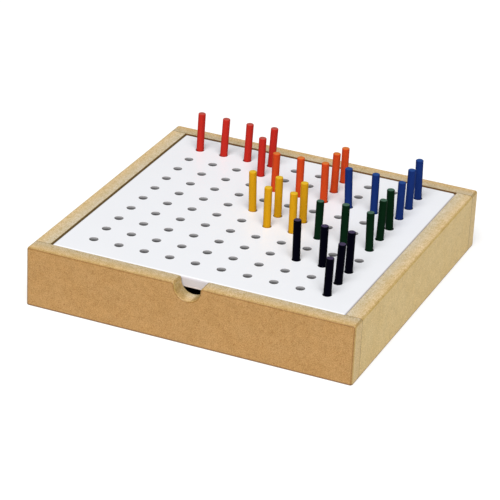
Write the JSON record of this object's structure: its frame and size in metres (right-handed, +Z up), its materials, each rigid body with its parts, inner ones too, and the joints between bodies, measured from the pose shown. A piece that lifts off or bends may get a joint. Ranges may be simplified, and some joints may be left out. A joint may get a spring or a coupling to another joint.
{
  "type": "pattern peg board game",
  "caption": "Square fibreboard tray with a rounded finger notch and a white lift-out board, drilled with a square grid of holes that hold loose coloured pegs.",
  "frame": {"origin": "centre of the tray's underside, on the surface that it stands on", "axes": "+Z up; the wall with the finger notch faces -Y; +X runs to the right seen from that wall"},
  "size_m": [0.301, 0.301, 0.0922],
  "materials": {
    "wall_fibreboard": "sanded fibreboard, clear matt varnish",
    "panel_fibreboard": "smooth hardboard",
    "rail_wood": "planed softwood",
    "dowel_wood": "fluted beech",
    "board_white": "satin white paint on fibreboard",
    "peg_red": "satin red stain and lacquer on turned wood",
    "peg_orange": "satin orange stain and lacquer on turned wood",
    "peg_yellow": "satin yellow stain and lacquer on turned wood",
    "peg_blue": "satin blue stain and lacquer on turned wood",
    "peg_green": "satin green stain and lacquer on turned wood",
    "peg_purple": "satin purple stain and lacquer on turned wood"
  },
  "bodies": {
    "tray": {"front_wall": "wall_fibreboard", "back_wall": "wall_fibreboard", "left_wall": "wall_fibreboard", "right_wall": "wall_fibreboard", "bottom_panel": "panel_fibreboard", "left_rail": "rail_wood", "right_rail": "rail_wood", "corner_dowels": "dowel_wood"},
    "board": {"peg_board": "board_white", "board_backing": "board_white"},
    "peg_red_1": {"peg_red_1": "peg_red"},
    "peg_red_2": {"peg_red_2": "peg_red"},
    "peg_red_3": {"peg_red_3": "peg_red"},
    "peg_red_4": {"peg_red_4": "peg_red"},
    "peg_red_5": {"peg_red_5": "peg_red"},
    "peg_orange_1": {"peg_orange_1": "peg_orange"},
    "peg_orange_2": {"peg_orange_2": "peg_orange"},
    "peg_orange_3": {"peg_orange_3": "peg_orange"},
    "peg_orange_4": {"peg_orange_4": "peg_orange"},
    "peg_orange_5": {"peg_orange_5": "peg_orange"},
    "peg_yellow_1": {"peg_yellow_1": "peg_yellow"},
    "peg_yellow_2": {"peg_yellow_2": "peg_yellow"},
    "peg_yellow_3": {"peg_yellow_3": "peg_yellow"},
    "peg_yellow_4": {"peg_yellow_4": "peg_yellow"},
    "peg_yellow_5": {"peg_yellow_5": "peg_yellow"},
    "peg_blue_1": {"peg_blue_1": "peg_blue"},
    "peg_blue_2": {"peg_blue_2": "peg_blue"},
    "peg_blue_3": {"peg_blue_3": "peg_blue"},
    "peg_blue_4": {"peg_blue_4": "peg_blue"},
    "peg_blue_5": {"peg_blue_5": "peg_blue"},
    "peg_green_1": {"peg_green_1": "peg_green"},
    "peg_green_2": {"peg_green_2": "peg_green"},
    "peg_green_3": {"peg_green_3": "peg_green"},
    "peg_green_4": {"peg_green_4": "peg_green"},
    "peg_green_5": {"peg_green_5": "peg_green"},
    "peg_purple_1": {"peg_purple_1": "peg_purple"},
    "peg_purple_2": {"peg_purple_2": "peg_purple"},
    "peg_purple_3": {"peg_purple_3": "peg_purple"},
    "peg_purple_4": {"peg_purple_4": "peg_purple"},
    "peg_purple_5": {"peg_purple_5": "peg_purple"}
  },
  "joints": [
    {"name": "board_lift", "type": "slide", "parent": "tray", "child": "board", "axis": [0, 0, 1], "range_m": [0, 0.06]},
    {"name": "peg_red_1_pull", "type": "slide", "parent": "board", "child": "peg_red_1", "axis": [0, 0, 1], "range_m": [0, 0.05]},
    {"name": "peg_red_2_pull", "type": "slide", "parent": "board", "child": "peg_red_2", "axis": [0, 0, 1], "range_m": [0, 0.05]},
    {"name": "peg_red_3_pull", "type": "slide", "parent": "board", "child": "peg_red_3", "axis": [0, 0, 1], "range_m": [0, 0.05]},
    {"name": "peg_red_4_pull", "type": "slide", "parent": "board", "child": "peg_red_4", "axis": [0, 0, 1], "range_m": [0, 0.05]},
    {"name": "peg_red_5_pull", "type": "slide", "parent": "board", "child": "peg_red_5", "axis": [0, 0, 1], "range_m": [0, 0.05]},
    {"name": "peg_orange_1_pull", "type": "slide", "parent": "board", "child": "peg_orange_1", "axis": [0, 0, 1], "range_m": [0, 0.05]},
    {"name": "peg_orange_2_pull", "type": "slide", "parent": "board", "child": "peg_orange_2", "axis": [0, 0, 1], "range_m": [0, 0.05]},
    {"name": "peg_orange_3_pull", "type": "slide", "parent": "board", "child": "peg_orange_3", "axis": [0, 0, 1], "range_m": [0, 0.05]},
    {"name": "peg_orange_4_pull", "type": "slide", "parent": "board", "child": "peg_orange_4", "axis": [0, 0, 1], "range_m": [0, 0.05]},
    {"name": "peg_orange_5_pull", "type": "slide", "parent": "board", "child": "peg_orange_5", "axis": [0, 0, 1], "range_m": [0, 0.05]},
    {"name": "peg_yellow_1_pull", "type": "slide", "parent": "board", "child": "peg_yellow_1", "axis": [0, 0, 1], "range_m": [0, 0.05]},
    {"name": "peg_yellow_2_pull", "type": "slide", "parent": "board", "child": "peg_yellow_2", "axis": [0, 0, 1], "range_m": [0, 0.05]},
    {"name": "peg_yellow_3_pull", "type": "slide", "parent": "board", "child": "peg_yellow_3", "axis": [0, 0, 1], "range_m": [0, 0.05]},
    {"name": "peg_yellow_4_pull", "type": "slide", "parent": "board", "child": "peg_yellow_4", "axis": [0, 0, 1], "range_m": [0, 0.05]},
    {"name": "peg_yellow_5_pull", "type": "slide", "parent": "board", "child": "peg_yellow_5", "axis": [0, 0, 1], "range_m": [0, 0.05]},
    {"name": "peg_blue_1_pull", "type": "slide", "parent": "board", "child": "peg_blue_1", "axis": [0, 0, 1], "range_m": [0, 0.05]},
    {"name": "peg_blue_2_pull", "type": "slide", "parent": "board", "child": "peg_blue_2", "axis": [0, 0, 1], "range_m": [0, 0.05]},
    {"name": "peg_blue_3_pull", "type": "slide", "parent": "board", "child": "peg_blue_3", "axis": [0, 0, 1], "range_m": [0, 0.05]},
    {"name": "peg_blue_4_pull", "type": "slide", "parent": "board", "child": "peg_blue_4", "axis": [0, 0, 1], "range_m": [0, 0.05]},
    {"name": "peg_blue_5_pull", "type": "slide", "parent": "board", "child": "peg_blue_5", "axis": [0, 0, 1], "range_m": [0, 0.05]},
    {"name": "peg_green_1_pull", "type": "slide", "parent": "board", "child": "peg_green_1", "axis": [0, 0, 1], "range_m": [0, 0.05]},
    {"name": "peg_green_2_pull", "type": "slide", "parent": "board", "child": "peg_green_2", "axis": [0, 0, 1], "range_m": [0, 0.05]},
    {"name": "peg_green_3_pull", "type": "slide", "parent": "board", "child": "peg_green_3", "axis": [0, 0, 1], "range_m": [0, 0.05]},
    {"name": "peg_green_4_pull", "type": "slide", "parent": "board", "child": "peg_green_4", "axis": [0, 0, 1], "range_m": [0, 0.05]},
    {"name": "peg_green_5_pull", "type": "slide", "parent": "board", "child": "peg_green_5", "axis": [0, 0, 1], "range_m": [0, 0.05]},
    {"name": "peg_purple_1_pull", "type": "slide", "parent": "board", "child": "peg_purple_1", "axis": [0, 0, 1], "range_m": [0, 0.05]},
    {"name": "peg_purple_2_pull", "type": "slide", "parent": "board", "child": "peg_purple_2", "axis": [0, 0, 1], "range_m": [0, 0.05]},
    {"name": "peg_purple_3_pull", "type": "slide", "parent": "board", "child": "peg_purple_3", "axis": [0, 0, 1], "range_m": [0, 0.05]},
    {"name": "peg_purple_4_pull", "type": "slide", "parent": "board", "child": "peg_purple_4", "axis": [0, 0, 1], "range_m": [0, 0.05]},
    {"name": "peg_purple_5_pull", "type": "slide", "parent": "board", "child": "peg_purple_5", "axis": [0, 0, 1], "range_m": [0, 0.05]}
  ]
}
